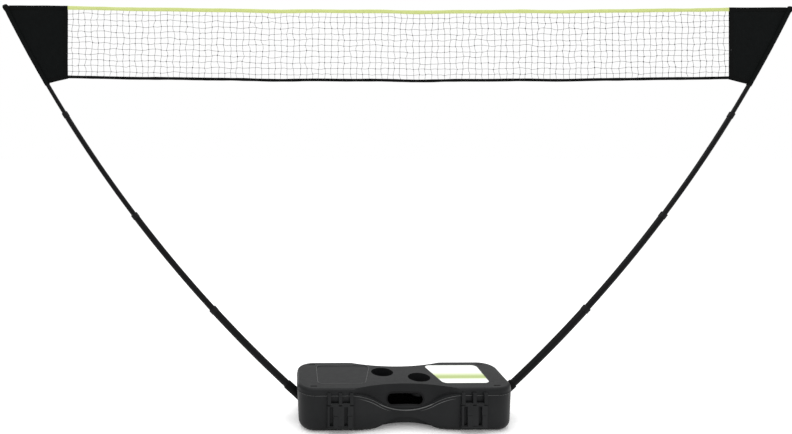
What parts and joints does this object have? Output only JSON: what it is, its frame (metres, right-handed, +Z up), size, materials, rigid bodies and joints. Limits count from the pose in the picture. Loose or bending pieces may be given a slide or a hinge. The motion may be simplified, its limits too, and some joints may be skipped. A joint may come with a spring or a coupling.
{
  "type": "portable badminton net",
  "caption": "Free-standing badminton net on two bent telescopic poles that rise from the ends of a waisted plastic carrying case with a hinged lid.",
  "frame": {"origin": "middle of the case's footprint, on the floor", "axes": "+X along the net, +Y towards the case's hinge side, +Z up"},
  "size_m": [3.0206, 0.2934, 1.5694],
  "materials": {
    "case_plastic": "textured charcoal",
    "latch_plastic": "satin",
    "label": "printed film, white with a lime band",
    "pin_steel": "plain",
    "boot_rubber": "matte",
    "pole_black": "gloss black",
    "collar_plastic": "satin",
    "bush_plastic": "natural nylon",
    "black_fabric": "woven",
    "net_cord": "knotted cord",
    "lime_tape": "woven tape",
    "black_tape": "woven tape"
  },
  "bodies": {
    "base": {"base_shell": "case_plastic", "lid_hinge_pins": "pin_steel", "pole_socket_left": "boot_rubber", "pole_section_1_left": "pole_black", "pole_collar_1_left": "collar_plastic", "pole_plug_left": "collar_plastic", "pole_socket_right": "boot_rubber", "pole_section_1_right": "pole_black", "pole_collar_1_right": "collar_plastic", "pole_plug_right": "collar_plastic"},
    "lid": {"lid_shell": "case_plastic", "lid_label": "label", "latch_pin_left": "pin_steel", "latch_pin_right": "pin_steel"},
    "net": {"net_mesh": "net_cord", "top_tape": "lime_tape", "bottom_tape": "black_tape"},
    "latch_left": {"latch_left": "latch_plastic"},
    "pole_second_left": {"pole_section_2_left": "pole_black", "pole_collar_2_left": "collar_plastic", "pole_bush_2_left": "bush_plastic"},
    "pole_third_left": {"pole_section_3_left": "pole_black", "pole_collar_3_left": "collar_plastic", "pole_bush_3_left": "bush_plastic"},
    "pole_tip_left": {"pole_section_4_left": "pole_black", "pole_bush_4_left": "bush_plastic", "pole_tip_cap_left": "collar_plastic", "sleeve_left": "black_fabric", "net_panel_left": "black_fabric"},
    "latch_right": {"latch_right": "latch_plastic"},
    "pole_second_right": {"pole_section_2_right": "pole_black", "pole_collar_2_right": "collar_plastic", "pole_bush_2_right": "bush_plastic"},
    "pole_third_right": {"pole_section_3_right": "pole_black", "pole_collar_3_right": "collar_plastic", "pole_bush_3_right": "bush_plastic"},
    "pole_tip_right": {"pole_section_4_right": "pole_black", "pole_bush_4_right": "bush_plastic", "pole_tip_cap_right": "collar_plastic", "sleeve_right": "black_fabric", "net_panel_right": "black_fabric"}
  },
  "joints": [
    {"name": "lid_hinge", "type": "hinge", "parent": "base", "child": "lid", "pos_m": [0, 0.1415, 0.139], "axis": [-1, 0, 0], "range_deg": [0, 105]},
    {"name": "latch_left_hinge", "type": "hinge", "parent": "lid", "child": "latch_left", "pos_m": [-0.24, -0.1422, 0.11], "axis": [-1, 0, 0], "range_deg": [0, 100]},
    {"name": "latch_right_hinge", "type": "hinge", "parent": "lid", "child": "latch_right", "pos_m": [0.24, -0.1422, 0.11], "axis": [-1, 0, 0], "range_deg": [0, 100]},
    {"name": "telescope_second_right", "type": "hinge", "parent": "base", "child": "pole_second_right", "pos_m": [-2.99, 0, 3.788], "axis": [0, 1, 0], "range_deg": [0, 4.98]},
    {"name": "telescope_third_right", "type": "hinge", "parent": "pole_second_right", "child": "pole_third_right", "pos_m": [-2.99, 0, 3.788], "axis": [0, 1, 0], "range_deg": [0, 4.98]},
    {"name": "telescope_tip_right", "type": "hinge", "parent": "pole_third_right", "child": "pole_tip_right", "pos_m": [-2.99, 0, 3.788], "axis": [0, 1, 0], "range_deg": [0, 1.14]},
    {"name": "telescope_second_left", "type": "hinge", "parent": "base", "child": "pole_second_left", "pos_m": [2.99, 0, 3.788], "axis": [0, -1, 0], "range_deg": [0, 4.98]},
    {"name": "telescope_third_left", "type": "hinge", "parent": "pole_second_left", "child": "pole_third_left", "pos_m": [2.99, 0, 3.788], "axis": [0, -1, 0], "range_deg": [0, 4.98]},
    {"name": "telescope_tip_left", "type": "hinge", "parent": "pole_third_left", "child": "pole_tip_left", "pos_m": [2.99, 0, 3.788], "axis": [0, -1, 0], "range_deg": [0, 1.14]},
    {"name": "net_drop", "type": "slide", "parent": "base", "child": "net", "axis": [0, 0, -1], "range_m": [0, 0.7762], "deforming": ["net_mesh", "top_tape", "bottom_tape"]}
  ],
  "couplings": [
    {"joint": "telescope_third_right", "follows": "telescope_second_right", "ratio": 1},
    {"joint": "telescope_tip_right", "follows": "telescope_second_right", "ratio": 0.22936},
    {"joint": "telescope_second_left", "follows": "telescope_second_right", "ratio": 1},
    {"joint": "telescope_third_left", "follows": "telescope_second_right", "ratio": 1},
    {"joint": "telescope_tip_left", "follows": "telescope_second_right", "ratio": 0.22936},
    {"joint": "net_drop", "follows": "telescope_second_right", "m_per_rad": 8.917}
  ]
}
